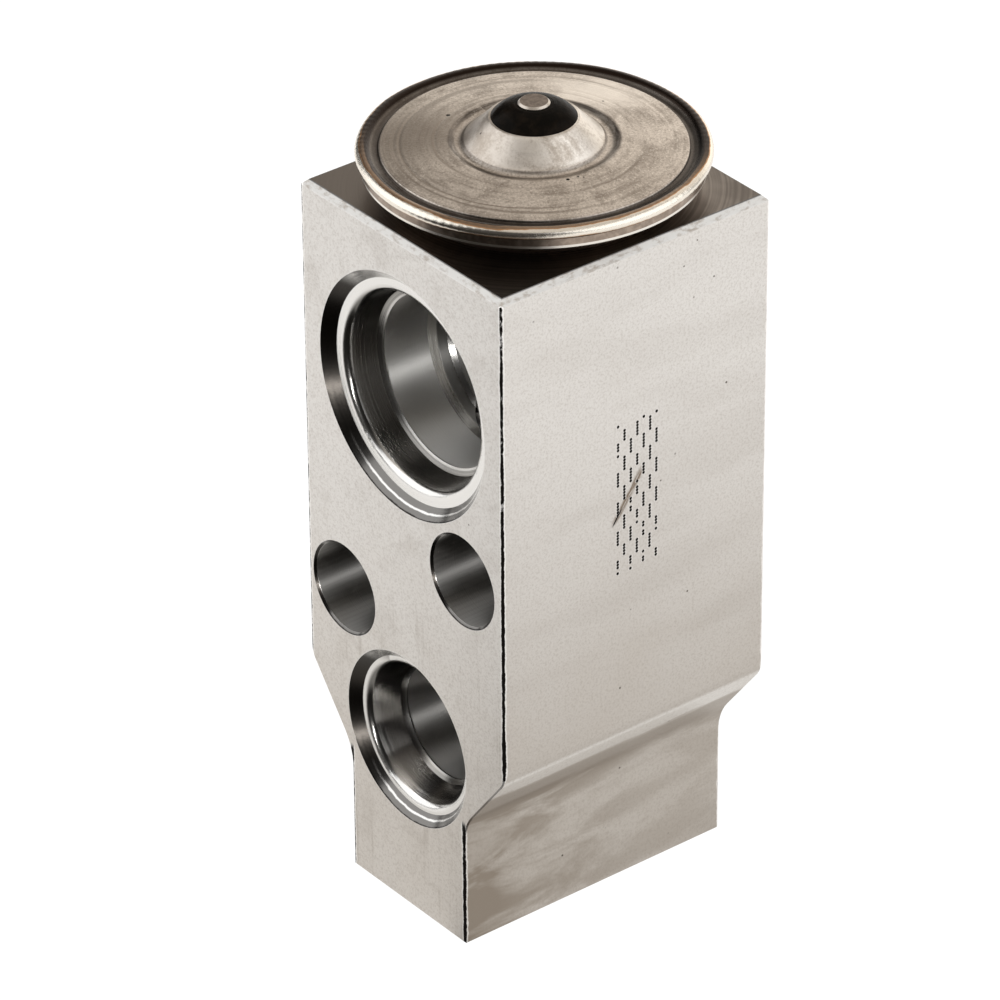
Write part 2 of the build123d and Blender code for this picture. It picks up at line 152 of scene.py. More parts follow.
def placeOf(tree, stretch=(1, 1, 1), turn=(0, 0, 0)):
    # object coordinates in mm, stretched, and turned by degrees
    source = addNode(tree, "TexCoord", output="Object")
    sizes = tuple(share / mm for share in stretch)
    return addNode(tree, "Mapping", {"Vector": source, "Rotation": np.radians(turn), "Scale": sizes})


def noiseOf(tree, place, scale, detail=2.0, roughness=0.5, distortion=0.0):
    sources = {"Vector": place, "Scale": scale, "Detail": detail}
    sources.update({"Roughness": roughness, "Distortion": distortion})
    return addNode(tree, "TexNoise", sources)


def patternOf(tree, stretch, turn, *noise):
    return noiseOf(tree, placeOf(tree, stretch, turn), *noise)


def lineNoise(tree, value, scale, detail):
    # noise along one number, for turned rings and drawn lines
    sources = {"W": value, "Scale": scale, "Detail": detail}
    return addNode(tree, "TexNoise", sources, noise_dimensions="1D")


def split(tree, vector):
    node = tree.nodes.new("ShaderNodeSeparateXYZ")
    tree.links.new(vector, node.inputs[0])
    return node.outputs


def join(tree, x, y, z):
    return addNode(tree, "CombineXYZ", (x, y, z))


def readSurface(tree):
    # a surface point in mm: whole, by its coordinates, on the floor, and its distance from the axis
    place = placeOf(tree)
    x, y, z = split(tree, place)
    flat = join(tree, x, y, 0.0)
    return SimpleNamespace(place=place, x=x, y=y, z=z, flat=flat, radius=measure(tree, "LENGTH", flat))


def leftward(tree, at):
    # x + 1.27 y, which falls towards the left of the photo
    return scaled(tree, at.y, 1.27, at.x)


def bumpOf(tree, height, distance, under=None):
    sources = {"Height": height, "Distance": distance}
    if under is not None:
        sources["Normal"] = under
    return addNode(tree, "Bump", sources)


def startMaterial(name, **sockets):
    made = bpy.data.materials.new(name)
    made.use_nodes = True
    tree = made.node_tree
    shader = tree.nodes["Principled BSDF"]
    for key, value in sockets.items():
        shader.inputs[key.replace("_", " ")].default_value = value
    return made, tree, shader


def linkSockets(tree, shader, **sources):
    for key, source in sources.items():
        tree.links.new(source, shader.inputs[key.replace("_", " ")])


# Studio: a pale glowing floor, two soft boxes, a low strip lamp, a bright wall behind the part and a
# dark room elsewhere. What the metal mirrors of the floor is a plane of its own: paler away from the
# part, dark in a wedge left of the camera. Lengths in mm, azimuths in degrees.
studio = {
    "floorColour": (0.10, 0.10, 0.10, 1),
    "floorGlow": 1.0,
    "floorHalf": 3000,
    "mirrorLevel": -0.2,
    "mirrorFar": (1.02, 1.0, 0.975, 1),
    "mirrorNear": (0.78, 0.755, 0.72, 1),
    "mirrorDark": (0.03, 0.027, 0.024, 1),
    "mirrorReach": (10.0, 95.0),
    "wedge": {"azimuth": -62, "start": 11.0, "left": 0.6, "right": 1.2, "soft": 8.0},
    "room": (0.052, 0.049, 0.046, 1),
    "backWall": (0.86, 0.79, 0.71, 1),
    "backGlow": (1.30, 1.23, 1.13, 1),
    "ceiling": (0.62, 0.58, 0.53, 1),
    "backAzimuth": 118,
    "backSpread": (0.67, 0.98),  # cosine of the angle off the wall's middle
    "backHeight": (0.30, 0.52),  # sine of the elevation, from its glow to its plain upper part
    "ceilingHeight": (0.68, 0.92),
    "lampDistance": 600,
    "lampAim": 35,
    "lamps": {
        "soft_box_left": {"azimuth": -136, "elevation": 30, "size": (860, 640), "radiance": 1.25},
        "soft_box_right": {"azimuth": 28, "elevation": 30, "size": (1000, 620), "radiance": 1.25},
        "low_strip": {"azimuth": -64, "elevation": -1.5, "size": (300, 34), "radiance": 40},
    },
}


def makeFloor(name, half, level, material):
    # a level square that reaches half its width each way from the axis
    corners = np.array([(-half, -half), (half, -half), (half, half), (-half, half)])
    corners = np.column_stack([corners, np.full(4, level)])
    mesh = bpy.data.meshes.new(name)
    mesh.from_pydata((corners * mm).tolist(), [], [(0, 1, 2, 3)])
    mesh.materials.append(material)
    floor = bpy.data.objects.new(name, mesh)
    bpy.context.scene.collection.objects.link(floor)
    return floor


def bearing(azimuth):
    # level direction: (cos a, sin a, 0)
    return float(np.cos(np.radians(azimuth))), float(np.sin(np.radians(azimuth))), 0.0


def mirrorMaterial(s):
    # glow of the floor as the metal sees it: grows with the distance from the axis, dark where
    # the distance along the wedge is more than start + left or right * distance beside it
    made, tree, shader = startMaterial("mirrored_floor", Base_Color=(0, 0, 0, 1), Roughness=1.0,
                                       Specular_IOR_Level=0.0, Emission_Strength=1.0)
    at = readSurface(tree)
    glow = mixOf(tree, rangeOf(tree, at.radius, *s["mirrorReach"]), s["mirrorNear"], s["mirrorFar"])
    wedge = s["wedge"]
    ahead = bearing(wedge["azimuth"])
    aside = (-ahead[1], ahead[0], 0.0)
    reach = measure(tree, "DOT_PRODUCT", at.flat, ahead)
    sideways = measure(tree, "DOT_PRODUCT", at.flat, aside)
    reach = scaled(tree, mathOf(tree, "MAXIMUM", sideways, 0.0), -wedge["right"], reach)
    reach = scaled(tree, mathOf(tree, "MINIMUM", sideways, 0.0), wedge["left"], reach)
    inWedge = rangeOf(tree, reach, wedge["start"], wedge["start"] + wedge["soft"])
    linkSockets(tree, shader, Emission_Color=lay(tree, glow, s["mirrorDark"], inWedge))
    return made


def makeLamp(name, distance, aim, azimuth, elevation, size, radiance):
    # an area lamp that faces a point of the axis; its power is radiance * pi * area
    level = np.cos(np.radians(elevation))
    ahead = bearing(azimuth)
    away = Vector((ahead[0] * level, ahead[1] * level, np.sin(np.radians(elevation))))
    lamp = bpy.data.lights.new(name, "AREA")
    lamp.shape = "RECTANGLE"
    lamp.size, lamp.size_y = size[0] * mm, size[1] * mm
    lamp.energy = radiance * np.pi * lamp.size * lamp.size_y
    holder = bpy.data.objects.new(name, lamp)
    bpy.context.scene.collection.objects.link(holder)
    holder.location = away * distance * mm + Vector((0, 0, aim * mm))
    holder.rotation_euler = away.to_track_quat("Z", "Y").to_euler()
    return holder


def makeRoom(s):
    # the world's colour by direction: dark room, a wall round backAzimuth, ceiling overhead
    world = bpy.data.worlds.new("room")
    bpy.context.scene.world = world
    world.use_nodes = True
    tree = world.node_tree
    x, y, height = split(tree, addNode(tree, "TexCoord", output="Generated"))
    level = addNode(tree, "VectorMath", (join(tree, x, y, 0.0),), operation="NORMALIZE")
    facing = measure(tree, "DOT_PRODUCT", level, bearing(s["backAzimuth"]))
    wall = mixOf(tree, rangeOf(tree, height, *s["backHeight"]), s["backGlow"], s["backWall"])
    shade = mixOf(tree, rangeOf(tree, facing, *s["backSpread"]), s["room"], wall)
    shade = lay(tree, shade, s["ceiling"], rangeOf(tree, height, *s["ceilingHeight"]))
    linkSockets(tree, tree.nodes["Background"], Color=shade)


def makeStudio(s):
    made, tree, shader = startMaterial("pale_floor", Base_Color=s["floorColour"], Roughness=0.9,
                                       Specular_IOR_Level=0.0, Emission_Color=(1, 1, 1, 1),
                                       Emission_Strength=s["floorGlow"])
    seen = makeFloor("floor", s["floorHalf"], 0, made)
    seen.visible_glossy = False
    mirrored = makeFloor("floor_mirrored", s["floorHalf"], s["mirrorLevel"], mirrorMaterial(s))
    mirrored.visible_camera = mirrored.visible_diffuse = mirrored.visible_shadow = False
    distance, aim = s["lampDistance"], s["lampAim"]
    lamps = {name: makeLamp(name, distance, aim, **lamp) for name, lamp in s["lamps"].items()}
    # the low strip draws the streaks in the drilled holes, so it shines on the block alone
    lit = bpy.data.collections.new("lit_by_strip")
    lit.objects.link(nodes["valve_body"])
    lamps["low_strip"].light_linking.receiver_collection = lit
    makeRoom(s)
    bpy.context.scene.view_settings.view_transform = "Standard"
    bpy.context.scene.view_settings.look = "None"


makeStudio(studio)
print("camera, floor and light set")

# Aluminium of the drilled block. Lengths in mm, depth is the distance from the middle plane, y = 0.
block = {
    "face": (0.78, 0.76, 0.735, 1),
    "low": (0.70, 0.665, 0.625, 1),
    # the stain tone is also laid as painted shade in the flank's hollow, on the foot and low on the ±X sides
    "stainAndShade": (0.33, 0.285, 0.24, 1),
    # the pale tone is also laid as a painted highlight on the flank
    "paleTone": (0.96, 0.95, 0.93, 1),
    # top, topDark, bevel, rimLow, rimShade, taper, boltBore, shade and step are laid as painted shade
    "top": (0.29, 0.258, 0.23, 1),
    "topDark": (0.15, 0.13, 0.114, 1),
    "bevel": (0.62, 0.61, 0.59, 1),
    "rim": (0.78, 0.77, 0.75, 1),
    "rimLow": (0.20, 0.193, 0.184, 1),
    "rimShade": (0.040, 0.036, 0.032, 1),
    "bore": (0.80, 0.79, 0.77, 1),
    "boreDeep": (0.66, 0.65, 0.625, 1),
    "boltBore": (0.37, 0.36, 0.345, 1),
    "taper": (0.30, 0.29, 0.275, 1),
    "shade": (0.10, 0.095, 0.088, 1),
    "step": (0.24, 0.232, 0.22, 1),
    "edge": (0.012, 0.010, 0.009, 1),
    "speck": (0.10, 0.085, 0.07, 1),
    "smudge": (0.17, 0.115, 0.07, 1),
    "halfWidth": 12.15,
    "halfDepth": 12.9,
    "footHalfWidth": 7.1,
    # a bore's centre, its outer radius and the width of its rim's bevel
    "bores": (
        ((0, 0, 46.4), 10.12, 0.92),
        ((0, 0, 15.5), 7.44, 0.82),
        ((-7.7, 0, 25.6), 3.97, 0.2),
        ((7.2, 0, 33.5), 3.97, 0.2),
    ),
    "boreBlur": 0.02,
    "rimBlur": 0.03,
    "boreSteps": ((46.4, 7.26), (15.5, 5.02)),  # height of the bore's axis, radius of the line of painted shade
    "paleLine": 0.47,  # how far inside its bore's outer edge the rim's pale line lies
    "arrisRaggedness": 0.42,
    # peened dots: short bars laid like bricks, which is a plain pattern and no writing
    "peen": {
        "start": (-1.75, 32.2),  # y and z of the first dot
        "pitch": (0.625, 0.26),  # between columns and between rows
        "columns": 7,
        "rows": 51,
        "bar": 5,  # rows in a bar
        "dot": 0.14,  # a dot's radius; it and the burr round it end so far beyond
        "dotEdge": (-0.035, 0.01, 1.0, 0.0),
        "burrEdge": (0.02, 0.10, 1.0, 0.0),
        "missing": (9.0, 0.0, 0.03, 0.45),  # from and to a row, with the share of missing dots at both
    },
    "scratch": {
        "place": (-0.7, 38.8),  # y and z of its middle
        "along": (-0.575, -0.819),
        "size": (2.9, 0.42),  # half its length and half its width
        "core": (0.6, 0.1),  # share of that length, and width in mm, that stay full
        "streaks": (0.5, 5.0),
        "streakNoise": (1.0, 4.0, 0.7),
        "streakShown": (0.36, 0.52),
        "nickAcross": (0.03, 0.11, 1.0, 0.0),
        "nickFrom": (0.9, 1.6),
        "nickTo": (2.9, 2.4),
    },
    # noise: how the coordinates are stretched and turned, then scale, detail, roughness, distortion
    "cloud": ((1, 1, 1), (0, 0, 0), 0.11, 3.0, 0.55, 0.4),
    "strokes": ((1.0, 0.16, 0.7), (30, 0, 0), 0.36, 3.0, 0.5, 0.2),
    "mottle": ((1.0, 0.30, 1.0), (24, 0, 0), 0.30, 4.0, 0.6, 0.5),
    "runs": ((1.6, 1.0, 0.07), (0, 0, 0), 1.0, 3.0, 0.6),
    "grain": ((1, 1, 1), (0, 0, 0), 4.6, 4.0, 0.8),
    "rare": ((1, 1, 1), (0, 0, 0), 0.23, 1.0),
    "chips": ((0.5, 0.5, 1.5), (0, 0, 0), 1.6, 4.0, 0.7),
    "nicks": ((1, 1, 0.6), (0, 0, 0), 1.6, 5.0, 0.75),
    "rimNicks": ((1, 1, 1), (0, 0, 0), 0.9, 3.0, 0.7),
    "drawn": ((3.0, 0.25, 3.0), (0, 0, 0), 1.6, 3.0, 0.6),
    "milled": (3.4, 4.0),
    "turned": (9.0, 3.0),
    "speckScale": 0.42,
    "turnedSlope": 1.3,  # turning marks by depth + this * inset
    "drawnShare": 0.6,
    "grainDepth": 0.010,
    "dentDepth": 0.04,
    # a noise's share and what is added to it
    "warmCloud": (0.9, -0.42),
    "rimNicked": (0.16, -0.08),
    "raggedFlank": 2.4,  # how far the mottle shifts a border, in mm
    "raggedCorner": 4.0,
    "topShares": (0.45, 0.75),  # of the milled rings and of the clouds
    # how strongly a tone is laid
    # the flank's light band is a painted highlight, and the brown band in its hollow is painted shade
    "strength": {"flankHighlight": 0.7, "hollowShade": 0.42, "arris": 0.8, "smear": 0.85, "burr": 0.5},
    # roughness: its grain's share and its base, then what each place adds
    "rough": {
        "grain": (0.10, 0.34),
        "bore": -0.20,
        "top": -0.08,
        "darkZones": 0.3,
        "drilled": 0.28,
        "leftRim": 0.05,
    },
    # where each tone comes in or fades: from, to, and its strength at both unless they are 0 and 1
    "fades": {
        # by the way the surface faces, -1 to 1 along an axis
        "sides": (0.35, 0.6),
        "front": (-0.8, -0.95),
        "squareOn": (0.85, 0.95),
        "slanting": (0.3, 0.5),
        "boreWall": (0.25, 0.1),
        "marked": (0.95, 0.98),
        "left": (0.20, 0.60),
        "leftRim": (0.38, 0.54),
        "lowRim": (0.10, 0.50),
        "lowRimLines": (0.15, 0.35),
        # by height
        "topEdge": (59.4, 59.6),
        "bevelEdge": (59.90, 59.98, 0.0, 0.8),
        "fainterAbove": (20.0, 55.0, 0.040, 0.075),
        "warmBelow": (44.0, 6.0, 0.0, 0.8),
        "paintedShadeBelow": (54.0, 20.0, 0.03, 0.29),
        "runsBelow": (32.0, 26.0),
        "boltsFrom": (20.0, 21.6),
        "boltsTo": (37.5, 37.3),
        "narrowBelow": (23.5, 23.0),
        "flankHighlightFrom": (15.6, 16.4),
        "flankHighlightTo": (17.7, 17.2),
        "flankShadeFrom": (11.2, 13.4),
        "flankShadeTo": (16.2, 15.2),
        "bodyArris": (16.6, 17.4),
        "footArris": (11.6, 11.0),
        "footDark": (13.0, 11.5),
        "cornerDark": (12.5, 10.5),
        # by y, leftwards and by the distance from x = 0
        "fainterBehind": (-1.0, 1.0, 0.0, 0.12),
        "footFront": (9.0, -12.0, 0.30, 1.0),
        "cornerFront": (-4.0, -11.5, 0.0, 0.36),
        "topLeft": (-12.0, -22.0, 0.0, 0.2),
        "boltsAside": (3.0, 3.3),
        # by depth
        "taperFrom": (9.15, 9.4),
        "portFrom": (10.9, 11.6),
        "shadeFrom": (9.2, 9.6, 0.0, 0.85),
        "middleDark": (4.4, 4.2, 0.0, 0.7),
        "narrowTo": (9.4, 9.15),
        "innerStep": (8.6, 8.2),
        "drilledTo": (9.2, 9.0),
        # by distance from a line
        "arrisDark": (0.0, 0.05, 1.0, 0.0),
        "arrisPale": (0.10, 0.20, 1.0, 0.0),
        "stepLine": (0.06, 0.11, 1.0, 0.0),
        "paleLine": (0.03, 0.09, 0.8, 0.0),
        "rimEdge": (0.07, 0.13, 0.9, 0.0),
        "speck": (0.030, 0.048, 1.0, 0.0),
        # by a noise's value
        "strokes": (0.45, 0.70, 0.0, 0.09),
        "mottledFoot": (0.38, 0.60, 0.0, 0.9),
        "runs": (0.55, 0.72, 0.0, 0.22),
        "spots": (0.50, 0.72, 0.0, 0.16),
        "grain": (0.44, 0.66, 0.0, 0.30),
        "rare": (0.46, 0.56),
        "chips": (0.46, 0.68, 0.0, 0.8),
        "topShade": (0.45, 0.75),
    },
}


def boreMasks(tree, b, x, z):
    # inside: within a bore's outer edge; rim: on the bevel there; inset: how far inside that edge,
    # the largest of radius - distance over all bores
    flat = join(tree, x, 0.0, z)
    insides, rims, insets = [], [], []
    for centre, radius, bevel in b["bores"]:
        away = measure(tree, "DISTANCE", flat, centre)
        inside = rangeOf(tree, away, radius - b["boreBlur"], radius + b["boreBlur"], 1.0, 0.0)
        land = radius - bevel
        insides.append(inside)
        rims.append(times(tree, inside, rangeOf(tree, away, land - b["rimBlur"], land)))
        insets.append(minus(tree, radius, away))
    return largest(tree, *insides), largest(tree, *rims), largest(tree, *insets)


def arrisMasks(tree, b, f, at):
    # the gap to an upright arris, |half width - |x|| + half depth - |y|, less the nicks' ragged reach and
    # more
    # above and behind: a dark line where it is next to none, pale just beside that
    toFace = minus(tree, b["halfDepth"], at.depth)
    nicks = patternOf(tree, *b["nicks"])
    fainter = plus(tree, rangeOf(tree, at.z, *f["fainterAbove"]), rangeOf(tree, at.y, *f["fainterBehind"]))
    darks, lights = [], []
    for halfWidth, stretch in ((b["halfWidth"], f["bodyArris"]), (b["footHalfWidth"], f["footArris"])):
        toSide = absolute(tree, minus(tree, halfWidth, absolute(tree, at.x)))
        gap = scaled(tree, nicks, -b["arrisRaggedness"], plus(tree, toSide, toFace, fainter))
        zone = rangeOf(tree, at.z, *stretch)
        darks.append(times(tree, rangeOf(tree, gap, *f["arrisDark"]), zone))
        lights.append(times(tree, rangeOf(tree, gap, *f["arrisPale"]), zone))
    return largest(tree, *darks), largest(tree, *lights)


def peenMask(tree, p, y, z):
    # dots on columns along y and rows along z, in bars with gaps as long between them, every second
    # column's bars one bar off; a few dots are missing, more of them low down
    column = mathOf(tree, "DIVIDE", minus(tree, y, p["start"][0]), p["pitch"][0])
    row = mathOf(tree, "DIVIDE", minus(tree, z, p["start"][1]), p["pitch"][1])
    i, j = mathOf(tree, "ROUND", column), mathOf(tree, "ROUND", row)
    shifted = scaled(tree, mathOf(tree, "FLOORED_MODULO", i, 2.0), p["bar"], j)
    inBar = mathOf(tree, "LESS_THAN", mathOf(tree, "FLOORED_MODULO", shifted, 2 * p["bar"]), p["bar"] - 0.5)
    midColumn, midRow = (p["columns"] - 1) / 2, (p["rows"] - 1) / 2
    inColumns = mathOf(tree, "COMPARE", i, midColumn, midColumn + 0.5)
    inRows = mathOf(tree, "COMPARE", j, midRow, midRow + 0.5)
    chance = addNode(tree, "TexWhiteNoise", (join(tree, i, j, 0.5),), output="Value", noise_dimensions="3D")
    kept = mathOf(tree, "GREATER_THAN", chance, rangeOf(tree, j, *p["missing"]))
    offY = times(tree, minus(tree, column, i), p["pitch"][0])
    offZ = times(tree, minus(tree, row, j), p["pitch"][1])
    away = measure(tree, "LENGTH", join(tree, offY, offZ, 0.0))
    shown = times(tree, inBar, inColumns, kept, inRows)
    beyond = minus(tree, away, p["dot"])
    dot = times(tree, shown, rangeOf(tree, beyond, *p["dotEdge"]))
    burr = times(tree, shown, rangeOf(tree, beyond, *p["burrEdge"]))
    return dot, burr


def scratchMask(tree, c, y, z):
    # an oblong smear in (y, z): soft across, streaky along, with a sharp nick towards its lower end
    offset = join(tree, minus(tree, y, c["place"][0]), minus(tree, z, c["place"][1]), 0.0)
    ahead, aside = c["along"] + (0.0,), (-c["along"][1], c["along"][0], 0.0)
    along = measure(tree, "DOT_PRODUCT", offset, ahead)
    across = measure(tree, "DOT_PRODUCT", offset, aside)
    (length, width), (fullLength, fullWidth) = c["size"], c["core"]
    streakPlace = join(tree, times(tree, along, c["streaks"][0]), times(tree, across, c["streaks"][1]), 0.0)
    streaks = noiseOf(tree, streakPlace, *c["streakNoise"])
    smear = times(tree, rangeOf(tree, absolute(tree, across), fullWidth, width, 1.0, 0.0),
                  rangeOf(tree, absolute(tree, along), fullLength * length, length, 1.0, 0.0),
                  rangeOf(tree, streaks, *c["streakShown"]))
    nick = times(tree, rangeOf(tree, absolute(tree, across), *c["nickAcross"]),
                 rangeOf(tree, along, *c["nickFrom"]), rangeOf(tree, along, *c["nickTo"]))
    return smear, nick


def faceColour(tree, b, f, at):
    # darker and warmer towards the bottom, with painted shade low on the ±X sides and a mottled foot,
    # thin run marks under the bolt holes, rare specks
    strokes, mottle = patternOf(tree, *b["strokes"]), patternOf(tree, *b["mottle"])
    warm = plus(tree, rangeOf(tree, at.z, *f["warmBelow"]), scaled(tree, at.cloud, *b["warmCloud"]))
    colour = mixOf(tree, rangeOf(tree, warm, 0.0, 1.0), b["face"], b["low"])
    # painted shade: the ±X sides darken downwards, laid with the strokes
    strokesAndShade = plus(tree, rangeOf(tree, strokes, *f["strokes"]), rangeOf(tree, at.z, *f["paintedShadeBelow"]))
    colour = lay(tree, colour, b["stainAndShade"], at.sides, strokesAndShade)
    # the flank: a painted highlight as a light band under its upper edge, painted shade as a brown band in
    # its hollow
    ragged = scaled(tree, mottle, b["raggedFlank"], at.z)
    # painted highlight: a pale band under the flank's upper edge
    light = times(tree, rangeOf(tree, ragged, *f["flankHighlightFrom"]), rangeOf(tree, at.z, *f["flankHighlightTo"]))
    flankShade = times(tree, rangeOf(tree, ragged, *f["flankShadeTo"]), rangeOf(tree, ragged, *f["flankShadeFrom"]))
    # the foot: painted shade, mottled in slanting bands, darkest at its front corner
    mottled = times(tree, rangeOf(tree, at.z, *f["footDark"]), rangeOf(tree, mottle, *f["mottledFoot"]),
                    rangeOf(tree, at.y, *f["footFront"]))
    corner = times(tree, rangeOf(tree, at.z, *f["cornerDark"]),
                   rangeOf(tree, scaled(tree, mottle, b["raggedCorner"], at.y), *f["cornerFront"]))
    colour = lay(tree, colour, b["paleTone"], light, b["strength"]["flankHighlight"], at.sides)
    # painted shade: the brown band in the flank's hollow and the darker foot
    darkened = scaled(tree, flankShade, b["strength"]["hollowShade"], plus(tree, mottled, corner))
    colour = lay(tree, colour, b["stainAndShade"], darkened, at.sides)
    runs = rangeOf(tree, patternOf(tree, *b["runs"]), *f["runs"])
    runs = times(tree, runs, rangeOf(tree, at.z, *f["runsBelow"]))
    marks = plus(tree, runs, rangeOf(tree, mottle, *f["spots"]))
    colour = lay(tree, colour, b["stainAndShade"], marks, rangeOf(tree, at.normal[1], *f["front"]))
    colour = lay(tree, colour, b["stainAndShade"], rangeOf(tree, at.grain, *f["grain"]))
    cells = {"Vector": at.place, "Scale": b["speckScale"], "Randomness": 1.0}
    specks = rangeOf(tree, addNode(tree, "TexVoronoi", cells, output="Distance"), *f["speck"])
    return lay(tree, colour, b["speck"], specks, rangeOf(tree, patternOf(tree, *b["rare"]), *f["rare"]))


def topColour(tree, b, f, at, colour):
    # the milled top, painted dark as shade and a little darker at its left, and the chipped bevel round it,
    # painted darker than the faces as shade
    high = rangeOf(tree, at.z, *f["topEdge"])
    top = times(tree, rangeOf(tree, at.normal[2], *f["squareOn"]), high)
    bevel = times(tree, rangeOf(tree, at.normal[2], *f["slanting"]), minus(tree, 1.0, top), high)
    milled = lineNoise(tree, at.radius, *b["milled"])
    ofMilled, ofCloud = b["topShares"]
    shade = plus(tree, times(tree, milled, ofMilled), times(tree, at.cloud, ofCloud))
    shade = plus(tree, shade, rangeOf(tree, leftward(tree, at), *f["topLeft"]))
    # painted shade: the top takes a dark tone, darker at its left
    topTone = mixOf(tree, rangeOf(tree, shade, *f["topShade"]), b["top"], b["topDark"])
    colour = lay(tree, colour, topTone, top)
    chips = patternOf(tree, *b["chips"])
    # painted shade: the bevel takes a darker tone than the faces
    bevelTone = mixOf(tree, rangeOf(tree, chips, *f["chips"]), b["bevel"], b["stainAndShade"])
    bevelTone = lay(tree, bevelTone, b["edge"], rangeOf(tree, at.z, *f["bevelEdge"]))
    return lay(tree, colour, bevelTone, bevel), top, milled


def boreColour(tree, b, f, at, bore, bolted):
    # walls by depth, with painted shade on the tapers in the ports, in the middle of the block and on the
    # side that faces +X; the narrow bores are painted dark as shade, the steps inside the ports keep a bright
    # edge each side of a line of painted shade, and the flat steps deeper in are painted dark as shade
    # painted shade on the tapers in the ports
    tone = mixOf(tree, rangeOf(tree, at.depth, *f["taperFrom"]), b["boreDeep"], b["taper"])
    tone = lay(tree, tone, b["bore"], rangeOf(tree, at.depth, *f["portFrom"]))
    # painted shade on the side that faces +X and in the middle of the block
    left = times(tree, bore, rangeOf(tree, at.normal[0], *f["left"]))
    tone = lay(tree, tone, b["shade"], left, rangeOf(tree, at.depth, *f["shadeFrom"]))
    tone = lay(tree, tone, b["shade"], rangeOf(tree, at.depth, *f["middleDark"]))
    # painted shade in the narrow bores
    narrow = times(tree, rangeOf(tree, at.z, *f["narrowBelow"]), rangeOf(tree, at.depth, *f["narrowTo"]))
    tone = lay(tree, tone, b["boltBore"], largest(tree, bolted, narrow))
    flush = rangeOf(tree, absolute(tree, at.normal[1]), *f["squareOn"])
    # painted shade: a dark line on each step, and dark flat steps deeper in
    for height, ring in b["boreSteps"]:
        away = measure(tree, "DISTANCE", join(tree, at.x, 0.0, at.z), (0.0, 0.0, height))
        stepShade = rangeOf(tree, absolute(tree, minus(tree, away, ring)), *f["stepLine"])
        tone = lay(tree, tone, b["step"], stepShade, flush)
    return lay(tree, tone, b["step"], flush, rangeOf(tree, at.depth, *f["innerStep"]))


def rimColour(tree, b, f, at, inset, leftRim):
    # rims: painted shade low down, with a pale line half way down the bevel and a nicked dark one at its
    # outer edge, and painted shade, nearly black, where they face +X
    # painted shade where the bevel faces up, low down
    tone = mixOf(tree, rangeOf(tree, at.normal[2], *f["lowRim"]), b["rim"], b["rimLow"])
    low = rangeOf(tree, at.normal[2], *f["lowRimLines"])
    nicked = plus(tree, inset, scaled(tree, patternOf(tree, *b["rimNicks"]), *b["rimNicked"]))
    fromLine = absolute(tree, minus(tree, nicked, b["paleLine"]))
    tone = lay(tree, tone, b["paleTone"], rangeOf(tree, fromLine, *f["paleLine"]), low)
    tone = lay(tree, tone, b["edge"], rangeOf(tree, nicked, *f["rimEdge"]), low)
    # painted shade, nearly black, where the rim faces +X
    return lay(tree, tone, b["rimShade"], leftRim)


